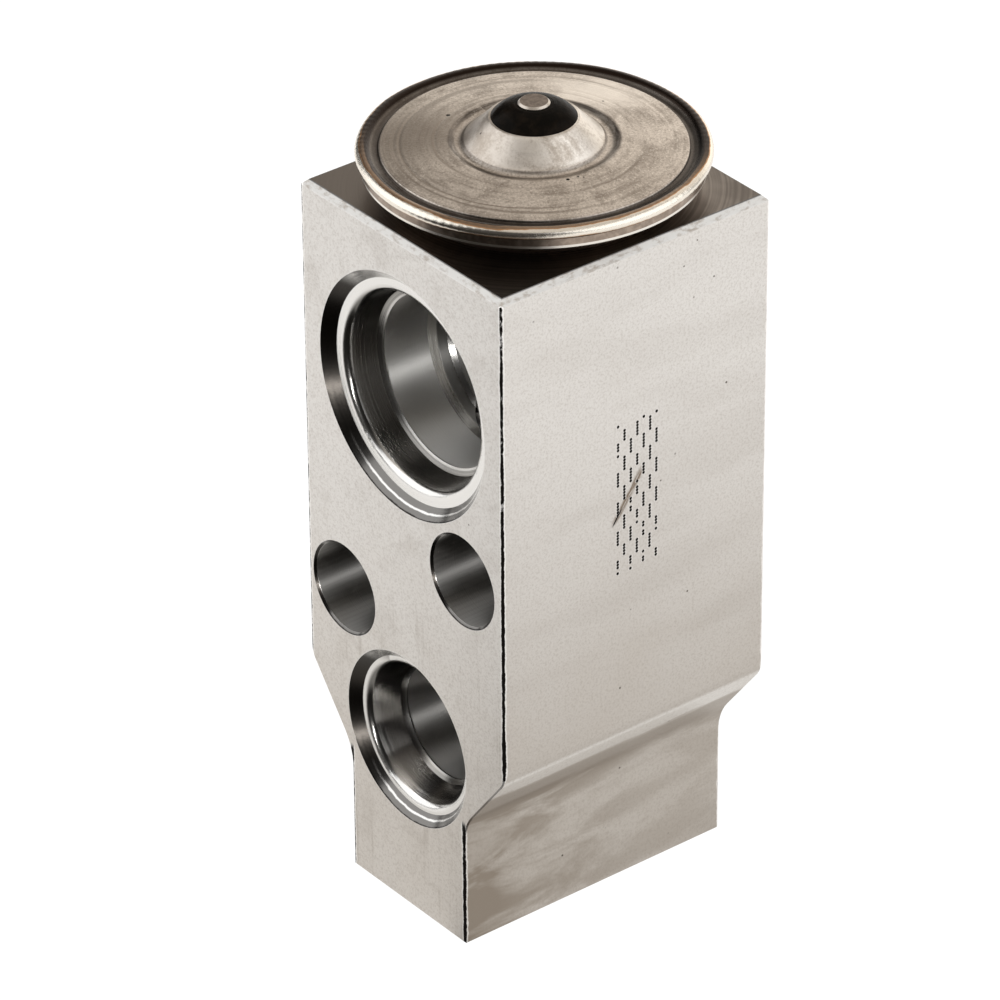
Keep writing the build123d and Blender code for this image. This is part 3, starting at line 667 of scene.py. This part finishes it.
def blockMaterial(b):
    f = b["fades"]
    made, tree, shader = startMaterial("milled_aluminium", Metallic=1.0)
    at = readSurface(tree)
    at.normal = split(tree, addNode(tree, "TexCoord", output="Normal"))
    at.depth = absolute(tree, at.y)
    at.sides = rangeOf(tree, absolute(tree, at.normal[0]), *f["sides"])
    at.cloud, at.grain = patternOf(tree, *b["cloud"]), patternOf(tree, *b["grain"])
    bore, rim, inset = boreMasks(tree, b, at.x, at.z)
    arris, paleTone = arrisMasks(tree, b, f, at)
    bolted = times(tree, rangeOf(tree, at.z, *f["boltsFrom"]), rangeOf(tree, at.z, *f["boltsTo"]),
                   rangeOf(tree, absolute(tree, at.x), *f["boltsAside"]))
    leftRim = times(tree, rim, rangeOf(tree, at.normal[0], *f["leftRim"]))

    colour, top, milled = topColour(tree, b, f, at, faceColour(tree, b, f, at))
    colour = lay(tree, colour, boreColour(tree, b, f, at, bore, bolted), bore)
    colour = lay(tree, colour, rimColour(tree, b, f, at, inset, leftRim), rim)
    strength = b["strength"]
    colour = lay(tree, colour, b["paleTone"], paleTone, strength["arris"])
    colour = lay(tree, colour, b["edge"], arris)

    # peened dots and the smear over them, on the +X side only
    marked = times(tree, rangeOf(tree, at.normal[0], *f["marked"]), minus(tree, 1.0, bore))
    dot, burr = peenMask(tree, b["peen"], at.y, at.z)
    smear, nick = scratchMask(tree, b["scratch"], at.y, at.z)
    dented = times(tree, largest(tree, dot, nick), marked)
    colour = lay(tree, colour, b["smudge"], smear, strength["smear"], marked)
    colour = lay(tree, colour, b["paleTone"], burr, strength["burr"], marked)
    colour = lay(tree, colour, b["edge"], dented)

    # relief: grain drawn out along y, milled top, turned bores, dents of the dots
    turned = lineNoise(tree, scaled(tree, inset, b["turnedSlope"], at.depth), *b["turned"])
    relief = mixOf(tree, b["drawnShare"], at.grain, patternOf(tree, *b["drawn"]))
    relief = mixOf(tree, bore, mixOf(tree, top, relief, milled), turned)
    lift = bumpOf(tree, relief, b["grainDepth"] * mm)
    lift = bumpOf(tree, minus(tree, 1.0, dented), b["dentDepth"] * mm, under=lift)

    # drilled walls: tool marks run round the bore, so their shine spreads along its axis
    wall = rangeOf(tree, absolute(tree, at.normal[1]), *f["boreWall"])
    deep = largest(tree, rangeOf(tree, at.depth, *f["drilledTo"]), bolted)
    drilled = times(tree, bore, wall, deep)
    along = addNode(tree, "VectorTransform", ((0.0, 1.0, 0.0),), vector_type="VECTOR",
                    convert_from="OBJECT", convert_to="WORLD")
    rough = scaled(tree, at.grain, *b["rough"]["grain"])
    places = {"bore": bore, "top": top, "darkZones": largest(tree, arris, dented), "drilled": drilled}
    places["leftRim"] = leftRim
    for place, mask in places.items():
        rough = scaled(tree, mask, b["rough"][place], rough)
    linkSockets(tree, shader, Base_Color=colour, Roughness=rough, Normal=lift)
    linkSockets(tree, shader, Tangent=along, Anisotropic=drilled)
    return made


def dress(name, material):
    mesh = nodes[name].data
    mesh.materials.clear()
    mesh.materials.append(material)


dress("valve_body", blockMaterial(block))
print("block dressed")


def finishMesh(name, points, faces, material, body, sharp):
    # points is an (n, 3) array in mm, faces an (m, 4) array of indices, sharp an angle in degrees
    mesh = bpy.data.meshes.new(name)
    mesh.from_pydata((points * mm).tolist(), [], faces.tolist())
    mesh.polygons.foreach_set("use_smooth", np.ones(len(faces), dtype=bool))
    mesh.update()
    mesh.set_sharp_from_angle(angle=np.radians(sharp))
    mesh.materials.append(material)
    made = bpy.data.objects.new(name, mesh)
    bpy.context.scene.collection.objects.link(made)
    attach(made, body)
    return made


def wrapGrid(rows, columns):
    # quads of a grid that closes on itself both ways, turned so that the faces look outwards
    i, j = np.meshgrid(np.arange(rows), np.arange(columns), indexing="ij")
    row, nextRow = i * columns, (i + 1) % rows * columns
    nextColumn = (j + 1) % columns
    return np.stack([row + j, row + nextColumn, nextRow + nextColumn, nextRow + j], -1).reshape(-1, 4)


def waves(terms, angle):
    # sum of size * sin(count * angle + phase)
    return sum(size * np.sin(count * angle + phase) for size, count, phase in terms)


def smoothCurve(knots, count):
    # Catmull-Rom curve through the knots, sampled evenly in its parameter:
    # half of 2 b + (c - a) u + (2 a - 5 b + 4 c - d) u^2 + (3 b - a - 3 c + d) u^3 between b and c
    knots = np.asarray(knots, float)
    padded = np.vstack([2 * knots[0] - knots[1], knots, 2 * knots[-1] - knots[-2]])
    t = np.linspace(0, len(knots) - 1, count)
    k = np.minimum(t.astype(int), len(knots) - 2)
    u = (t - k)[:, None]
    a, b, c, d = padded[k], padded[k + 1], padded[k + 2], padded[k + 3]
    bend = 2 * a - 5 * b + 4 * c - d
    return 0.5 * (2 * b + (c - a) * u + bend * u**2 + (3 * b - a - 3 * c + d) * u**3)


# Upper cover of the head: pressed plate, weld bead and charging cone, all turned about Z, in mm
cover = {
    "turns": 384,
    "beadRing": 12.91,
    "beadHeight": 63.25,
    "beadRadius": (0.62, 0.50),
    "beadArc": (-80, 118, 26),
    "beadRipples": 118,
    "rippleDepth": 0.012,
    "rippleShift": 1.6,
    "rippleMean": 0.6,
    "beadShrink": 0.030,  # keeps the ripples inside the CAD cover
    # the bead swells from this radius and height, and fully this much farther
    "swellFrom": (12.5, 62.8),
    "swellOver": (0.4, 0.1),
    # slow waves round the axis: size, count and phase
    "drift": ((0.35, 3, 0.7), (0.22, 7, 2.1)),
    "unevenRipples": ((0.4, 5, 1.0),),
    "sag": ((0.018, 4, 0.4), (0.012, 9, 1.9)),
    "groove": ((12.32, 63.52), (12.02, 63.40), (11.80, 63.40)),
    "riser": ((11.76, 63.43), (11.70, 63.55)),
    "plateEdge": (11.62, 63.62),
    "plateShoulder": (11.40, 63.655),
    "plateCrown": ((10.2, 63.80), (8.6, 63.98), (7.4, 64.08), (6.65, 64.14)),
    "moat": ((6.4, 64.13), (6.12, 64.02), (5.8, 63.95), (5.5, 64.02)),
    "coneFoot": (5.3, 64.22),
    "coneFlank": ((4.98, 64.5), (3.62, 65.86)),
    "coneTop": (3.36, 66.02),
    "crater": ((3.2, 66.05), (3.08, 66.0), (2.4, 65.22), (1.25, 65.22)),
    "underside": (
        (1.25, 64.52), (3.36, 64.52), (4.7, 63.62), (11.0, 63.2), (11.45, 62.9), (12.95, 62.9),
        (12.95, 62.75),
    ),
    # tooling rings dented in the plate above a height: radius, half width and depth
    "toolRings": ((10.15, 0.10, 0.030), (10.62, 0.16, 0.022), (7.5, 0.12, 0.016), (8.2, 0.10, 0.010)),
    "ringsAbove": 63.5,
    "plate": (0.66, 0.595, 0.53, 1),
    "plateLight": (0.90, 0.84, 0.77, 1),
    "plateDark": (0.24, 0.20, 0.165, 1),
    "bead": (0.90, 0.84, 0.75, 1),
    "beadBrown": (0.52, 0.29, 0.14, 1),
    "beadCrest": (0.27, 0.185, 0.125, 1),
    "beadDark": (0.022, 0.014, 0.010, 1),
    "cone": (0.85, 0.80, 0.74, 1),
    "coneDark": (0.46, 0.40, 0.34, 1),
    "darkened": {"bearing": -57, "near": 5.2, "far": 20.8, "strength": 0.45},
    "patchCloud": 3.0,
    "patchStrength": 0.8,
    # a patch's x and y, where it begins and ends to fade, and its tone: a painted highlight behind the cone,
    # painted shade at the left
    "patches": ((-3.0, 8.6, 2.5, 7.0, "plateLight"), (-6.5, -6.5, 2.5, 8.0, "plateDark")),
    "scoreWander": (0.5, 0.16),  # how far the streaks and the grain shift a score, in mm
    "scoreShift": 0.33,
    "scoreFull": (0.3, 0.2),  # share of its half length and of its width that stays full
    # a score's radius, bearing and half length in degrees, width and strength
    "scores": (
        (10.2, -75, 75, 0.14, 0.8), (10.7, -62, 80, 0.20, 0.65), (9.7, 172, 55, 0.50, 0.55),
        (10.5, 140, 60, 0.22, 0.7), (7.6, -110, 60, 0.16, 0.7), (8.5, 8, 40, 0.22, 0.6),
        (7.1, 175, 50, 0.30, 0.5),
    ),
    "spotBlur": 0.05,
    # a spot's x, y and radius
    "spots": (
        (-7.0, -2.7, 0.20), (6.55, -2.05, 0.17), (6.7, -1.2, 0.12), (7.0, -0.9, 0.1), (-1.4, 7.8, 0.12),
        (-1.45, -3.95, 0.1),
    ),
    "grain": (5.2, 4.0, 0.85),
    "cloud": (0.35, 4.0, 0.6, 0.6),
    "lathe": (3.2, 3.0),
    "streak": (1.0, 3.0, 0.6),
    "blotch": (1.1, 5.0, 0.7),
    "plateShare": {"cloud": 1.5, "streak": 0.9, "rings": 0.16, "base": -1.06},
    "coneGrain": 0.5,
    "spotGrain": 0.12,
    "streakStretch": (1.3, 1.6),  # round the axis and outwards
    "blotchStretch": 4.0,
    "raggedBead": (1.0, -0.5),
    "brownBehind": 0.25,
    "ringRelief": 0.9,
    "grainDepth": 0.010,
    "darkZones": 0.85,
    "rough": {"grain": (0.16, 0.28), "bead": -0.12},
    # where each tone comes in or fades, as in the block
    "fades": {
        "shade": (0.0, 0.6, 0.0, 0.75),
        "grainDark": (0.50, 0.64, 0.0, 0.62),
        "grainLight": (0.46, 0.36, 0.0, 0.65),
        # by radius
        "coneInside": (5.28, 5.36, 1.0, 0.0),
        "footFrom": (5.28, 5.36),
        "footTo": (5.42, 5.60, 0.5, 0.0),
        "moatFrom": (5.7, 6.25),
        "moatTo": (6.35, 6.75, 1.0, 0.0),
        "grooveFrom": (11.66, 11.74),
        "grooveTo": (12.1, 12.5, 1.0, 0.0),
        "beadFrom": (12.0, 12.5),
        # by the streaks' value, by height, by y - x, leftwards and by a noise's value
        "moatShadeStreaks": (0.30, 0.62, 0.15, 0.95),
        "coneFrom": (64.2, 64.3),
        "behind": (-9.0, 3.0),
        "coneLeft": (0.0, -6.0, 0.0, 0.5),
        "coneCloud": (0.62, 0.92),
        # round the bead, by the angle in radians from its outer side up, and down
        "brownFrom": (1.05, 1.2),
        "crestFrom": (1.2, 1.4),
        "darkFrom": (1.85, 2.1),
        "brownBelow": (-0.30, -0.50),
        "darkBelow": (-0.55, -0.75),
    },
}


def coverOutline(c):
    # outline in (radius, height), anticlockwise: underside, bead, groove, riser, plate, moat, cone, crater;
    # the bead is (ring + wide cos t, height + tall sin t), what follows it runs in smooth curves
    start, stop, count = c["beadArc"]
    arc = np.radians(np.linspace(start, stop, count))
    wide, tall = c["beadRadius"]
    bead = np.stack([c["beadRing"] + wide * np.cos(arc), c["beadHeight"] + tall * np.sin(arc)], 1)
    groove = smoothCurve([bead[-1], *c["groove"]], 14)[1:]
    riser = smoothCurve([*c["riser"], c["plateEdge"], c["plateShoulder"]], 10)
    plate = smoothCurve([c["plateShoulder"], *c["plateCrown"]], 60)[1:]
    moat = smoothCurve([*c["moat"], c["coneFoot"]], 14)
    cone = smoothCurve([c["coneFoot"], *c["coneFlank"], c["coneTop"]], 14)[1:]
    return np.vstack([c["underside"], bead, groove, riser, plate, moat, cone, c["crater"]])


def coverSurface(c):
    # the outline (r, h) turned about Z: x = r cos a, y = r sin a, z = h. The bead's outer half moves
    # away from the bead's middle by ripple depth * sine of the ripples + sag - shrink, and each tooling
    # ring lowers the plate by depth * exp(-((r - ring) / width)^2), unevenly round the axis
    outline = coverOutline(c)
    a = np.linspace(0, 2 * np.pi, c["turns"], endpoint=False)[None, :]
    r, h = outline[:, :1] * np.ones(c["turns"]), outline[:, 1:] * np.ones(c["turns"])
    (fromRadius, fromHeight), (overRadius, overHeight) = c["swellFrom"], c["swellOver"]
    onBead = np.clip((r - fromRadius) / overRadius, 0, 1) * np.clip((h - fromHeight) / overHeight, 0, 1)
    ripple = np.sin(c["beadRipples"] * a + c["rippleShift"] * waves(c["drift"], a))
    ripple = ripple * (c["rippleMean"] + waves(c["unevenRipples"], a))
    grow = onBead * (c["rippleDepth"] * ripple + waves(c["sag"], a) - c["beadShrink"])
    away = np.stack([r - c["beadRing"], h - c["beadHeight"]], -1)
    away /= np.maximum(np.linalg.norm(away, axis=-1, keepdims=True), 1e-6)
    r, h = r + grow * away[..., 0], h + grow * away[..., 1]
    onPlate = (h > c["ringsAbove"]) & (r < c["plateEdge"][0])
    for ring, width, depth in c["toolRings"]:
        uneven = 0.55 + 0.45 * np.sin(a + ring * 2.3)
        h = h - onPlate * depth * uneven * np.exp(-(((r - ring) / width) ** 2))
    points = np.stack([r * np.cos(a), r * np.sin(a), h], -1).reshape(-1, 3)
    return points, wrapGrid(len(outline), c["turns"])


def plateColour(tree, c, f, at):
    # clouds, turned rings and streaks round the axis, a painted highlight as a light patch behind the cone
    # and painted shade as a dark one at the left, and scores left by tools as ragged arcs
    share = c["plateShare"]
    shade = scaled(tree, at.cloud, share["cloud"], scaled(tree, at.streak, share["streak"], share["base"]))
    shade = scaled(tree, at.rings, share["rings"], shade)
    colour = mixOf(tree, rangeOf(tree, shade, *f["shade"]), c["plate"], c["plateDark"])
    colour = lay(tree, colour, c["plateDark"], rangeOf(tree, at.grain, *f["grainDark"]))
    colour = lay(tree, colour, c["plateLight"], rangeOf(tree, at.grain, *f["grainLight"]))
    # painted highlight behind the cone and painted shade at the left
    for x, y, near, far, tone in c["patches"]:
        away = scaled(tree, at.cloud, c["patchCloud"], measure(tree, "DISTANCE", at.flat, (x, y, 0.0)))
        colour = lay(tree, colour, c[tone], rangeOf(tree, away, near, far, c["patchStrength"], 0.0))
    byStreak, byGrain = c["scoreWander"]
    wander = scaled(tree, at.streak, byStreak, scaled(tree, at.grain, byGrain, at.radius))
    fullLength, fullWidth = c["scoreFull"]
    for ring, middle, reach, width, strength in c["scores"]:
        turn = minus(tree, at.angle, float(np.radians(middle)))
        turn = absolute(tree, mathOf(tree, "WRAP", turn, np.pi, -np.pi))
        ends = float(np.radians(reach * fullLength)), float(np.radians(reach))
        line = absolute(tree, minus(tree, wander, ring + c["scoreShift"]))
        colour = lay(tree, colour, c["plateDark"], rangeOf(tree, turn, *ends, strength, 0.0),
                     rangeOf(tree, line, fullWidth * width, width, 1.0, 0.0))
    return colour


def creaseShadeMask(tree, f, at):
    # painted shade in the creases: at the cone's foot, at the moat's outer edge and in the groove by the bead
    foot = times(tree, rangeOf(tree, at.radius, *f["footFrom"]), rangeOf(tree, at.radius, *f["footTo"]))
    moat = times(tree, rangeOf(tree, at.radius, *f["moatFrom"]), rangeOf(tree, at.radius, *f["moatTo"]),
                 rangeOf(tree, at.streak, *f["moatShadeStreaks"]))
    groove = times(tree, rangeOf(tree, at.radius, *f["grooveFrom"]), rangeOf(tree, at.radius, *f["grooveTo"]))
    return largest(tree, foot, moat, groove)


def beadColour(tree, c, f, at):
    # bright outer side, heat-browned crest and painted shade in the crevice below, brown then dark, with
    # ragged borders; the brown reaches lower at the back and round one bearing
    around = join(tree, times(tree, at.angle, c["blotchStretch"]), at.radius, at.z)
    blotch = noiseOf(tree, around, *c["blotch"])
    out = minus(tree, at.radius, c["beadRing"])
    tilt = mathOf(tree, "ARCTAN2", minus(tree, at.z, c["beadHeight"]), out)
    tilt = plus(tree, tilt, scaled(tree, blotch, *c["raggedBead"]))
    darkened = c["darkened"]
    turn = absolute(tree, minus(tree, at.angle, float(np.radians(darkened["bearing"]))))
    near, far = float(np.radians(darkened["near"])), float(np.radians(darkened["far"]))
    heat = rangeOf(tree, turn, near, far, darkened["strength"], 0.0)
    behind = rangeOf(tree, minus(tree, at.y, at.x), *f["behind"])
    upper = plus(tree, scaled(tree, behind, c["brownBehind"], tilt), heat)
    tint = mixOf(tree, rangeOf(tree, upper, *f["brownFrom"]), c["bead"], c["beadBrown"])
    crest = mixOf(tree, behind, c["beadCrest"], c["beadDark"])
    tint = lay(tree, tint, crest, rangeOf(tree, upper, *f["crestFrom"]))
    tint = lay(tree, tint, c["beadDark"], rangeOf(tree, upper, *f["darkFrom"]))
    # painted shade in the crevice below the bead, brown then dark
    tint = lay(tree, tint, c["beadBrown"], rangeOf(tree, tilt, *f["brownBelow"]))
    return lay(tree, tint, c["beadDark"], rangeOf(tree, tilt, *f["darkBelow"]))


def coneColour(tree, c, f, at):
    clouded = rangeOf(tree, plus(tree, at.cloud, times(tree, at.grain, c["coneGrain"])), *f["coneCloud"])
    tone = mixOf(tree, clouded, c["cone"], c["coneDark"])
    # painted shade on the cone's left side
    return lay(tree, tone, c["coneDark"], rangeOf(tree, leftward(tree, at), *f["coneLeft"]))


def coverMaterial(c):
    f = c["fades"]
    made, tree, shader = startMaterial("heat_tinted_steel", Metallic=1.0)
    at = readSurface(tree)
    at.angle = mathOf(tree, "ARCTAN2", at.y, at.x)
    at.grain, at.cloud = noiseOf(tree, at.place, *c["grain"]), noiseOf(tree, at.place, *c["cloud"])
    at.rings = lineNoise(tree, at.radius, *c["lathe"])
    aroundBy, outBy = c["streakStretch"]
    unrolled = join(tree, times(tree, at.angle, aroundBy), times(tree, at.radius, outBy), 0.0)
    at.streak = noiseOf(tree, unrolled, *c["streak"])

    colour = plateColour(tree, c, f, at)
    # painted shade in the creases by the cone, in the moat and by the bead
    colour = lay(tree, colour, c["beadDark"], creaseShadeMask(tree, f, at), c["darkZones"])
    onBead = rangeOf(tree, at.radius, *f["beadFrom"])
    colour = lay(tree, colour, beadColour(tree, c, f, at), onBead)
    onCone = times(tree, rangeOf(tree, at.radius, *f["coneInside"]), rangeOf(tree, at.z, *f["coneFrom"]))
    colour = lay(tree, colour, coneColour(tree, c, f, at), onCone)
    for x, y, size in c["spots"]:
        away = scaled(tree, at.grain, c["spotGrain"], measure(tree, "DISTANCE", at.flat, (x, y, 0.0)))
        colour = lay(tree, colour, block["edge"], rangeOf(tree, away, size, size + c["spotBlur"], 1.0, 0.0))

    rough = scaled(tree, onBead, c["rough"]["bead"], scaled(tree, at.grain, *c["rough"]["grain"]))
    relief = plus(tree, at.grain, times(tree, at.rings, c["ringRelief"]))
    lift = bumpOf(tree, relief, c["grainDepth"] * mm)
    linkSockets(tree, shader, Base_Color=colour, Roughness=rough, Normal=lift)
    return made


coverPoints, coverFaces = coverSurface(cover)
coverSteel = coverMaterial(cover)
coverPiece = finishMesh("head_cover", coverPoints, coverFaces, coverSteel, "block", sharp=38)
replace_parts(coverPiece, "upper_cover")
print("upper cover made")

# Dish painted dark as shade, sealant, pins and the hidden pieces. A finish has two close tones, its noise's
# scale and the bump's depth in mm; a lip is a brighter zone outside a radius and below a height.
finishes = {
    "dish": {
        "wearers": ("lower_cover",),
        # its dark tones are painted shade
        "base": (0.28, 0.225, 0.185, 1), "second": (0.42, 0.34, 0.28, 1), "rough": 0.30, "scale": 1.6,
        "bump": 0.008, "lip": (13.02, 62.18, (0.86, 0.82, 0.76, 1)),
    },
    "sealant": {
        "wearers": ("pin_sealant",),
        "base": (0.006, 0.005, 0.004, 1), "second": (0.014, 0.010, 0.007, 1), "rough": 0.20, "scale": 1.1,
        "bump": 0.05, "metal": 0.0, "shine": 0.025,
    },
    "fill_pin": {
        "wearers": ("charge_pin",),
        "base": (0.15, 0.12, 0.10, 1), "second": (0.26, 0.215, 0.18, 1), "rough": 0.34, "scale": 2.6,
        # the lip is a painted highlight round the pin's top edge
        "bump": 0.008, "lip": (1.08, 67.40, (0.62, 0.56, 0.50, 1)),
    },
    "pin": {
        "wearers": ("push_pin", "valve_ball"),
        "base": (0.46, 0.42, 0.38, 1), "second": (0.22, 0.19, 0.17, 1), "rough": 0.32, "scale": 2.6,
        "bump": 0.008,
    },
    "rubber": {
        "wearers": ("head_seal", "rod_seal", "screw_seal"),
        "base": (0.018, 0.024, 0.018, 1), "second": (0.035, 0.045, 0.035, 1), "rough": 0.55, "scale": 2.0,
        "bump": 0.01, "metal": 0.0,
    },
    "rod": {
        "wearers": ("diaphragm_pad", "sensing_rod"),
        "base": (0.72, 0.71, 0.70, 1), "second": (0.58, 0.57, 0.56, 1), "rough": 0.3, "scale": 3.0,
        "bump": 0.006,
    },
    "spring": {
        "wearers": ("rod_seal_retainer", "damper_spring", "superheat_spring"),
        "base": (0.45, 0.45, 0.46, 1), "second": (0.34, 0.34, 0.35, 1), "rough": 0.25, "scale": 4.0,
        "bump": 0.004,
    },
    "sheet": {
        "wearers": ("diaphragm",),
        "base": (0.6, 0.6, 0.6, 1), "second": (0.5, 0.5, 0.51, 1), "rough": 0.22, "scale": 2.0,
        "bump": 0.004,
    },
    "brass": {
        "wearers": ("ball_carrier", "adjusting_screw"),
        "base": (0.72, 0.53, 0.26, 1), "second": (0.58, 0.40, 0.19, 1), "rough": 0.3, "scale": 2.4,
        "bump": 0.008,
    },
}

# What all of these finishes share
turnedLook = {
    "cloud": (4.0, 0.6, 0.3),
    "rings": (7.0, 3.0),
    "tones": (0.35, 0.7),
    "roughSpread": 0.14,
    "lipBlur": 0.03,
    "ringRelief": 0.5,
}


def dressTurned(name, wearers, base, second, rough, scale, bump, metal=1.0, shine=0.5, lip=None):
    # two close tones in clouds, with fine rings about the valve's axis, for every node that wears it
    made, tree, shader = startMaterial(name, Metallic=metal, Specular_IOR_Level=shine)
    at = readSurface(tree)
    cloud = noiseOf(tree, at.place, scale, *turnedLook["cloud"])
    rings = lineNoise(tree, plus(tree, at.radius, at.z), *turnedLook["rings"])
    colour = mixOf(tree, rangeOf(tree, cloud, *turnedLook["tones"]), base, second)
    if lip:
        start, level, tone = lip
        blur = turnedLook["lipBlur"]
        colour = lay(tree, colour, tone, rangeOf(tree, at.radius, start - blur, start),
                     rangeOf(tree, at.z, level + blur, level))
    spread = turnedLook["roughSpread"]
    roughness = scaled(tree, cloud, spread, rough - spread / 2)
    lift = bumpOf(tree, plus(tree, cloud, times(tree, rings, turnedLook["ringRelief"])), bump * mm)
    linkSockets(tree, shader, Base_Color=colour, Roughness=roughness, Normal=lift)
    for wearer in wearers:
        dress(wearer, made)


for finish, values in finishes.items():
    dressTurned(finish, **values)
print("other nodes dressed")

# The superheat spring shortens from both ends, so it is two halves that meet at the middle:
# the upper one's head is listed with the valve train, the lower one's foot with the screw. Heights in mm.
coil = {
    "node": "superheat_spring",
    "middle": 11.4,
    "halves": {
        "spring_head": {"side": 1, "end": 14.9, "body": "valve_train"},
        "spring_foot": {"side": -1, "end": 7.9, "body": "screw_carriage"},
    },
}


def springHalf(name, node, middle, side, end, body):
    # a copy of the node's mesh, merged, cut at the middle and closed there; end and body are not used
    mesh = nodes[node].data.copy()
    half = bmesh.new()
    half.from_mesh(mesh)
    bmesh.ops.remove_doubles(half, verts=half.verts, dist=0.0001 * mm)
    whole = half.verts[:] + half.edges[:] + half.faces[:]
    cut = (0, 0, middle * mm)
    bmesh.ops.bisect_plane(half, geom=whole, plane_co=cut, plane_no=(0, 0, side), clear_inner=True)
    bmesh.ops.holes_fill(half, edges=[edge for edge in half.edges if edge.is_boundary], sides=0)
    bmesh.ops.recalc_face_normals(half, faces=half.faces)
    half.to_mesh(mesh)
    print(name, len(mesh.polygons), "faces,", sum(edge.is_boundary for edge in half.edges), "open edges")
    half.free()
    made = bpy.data.objects.new(name, mesh)
    bpy.context.scene.collection.objects.link(made)
    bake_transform(made)
    return made


for name, half in coil["halves"].items():
    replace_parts(springHalf(name, coil["node"], coil["middle"], **half), coil["node"])
print("spring made")
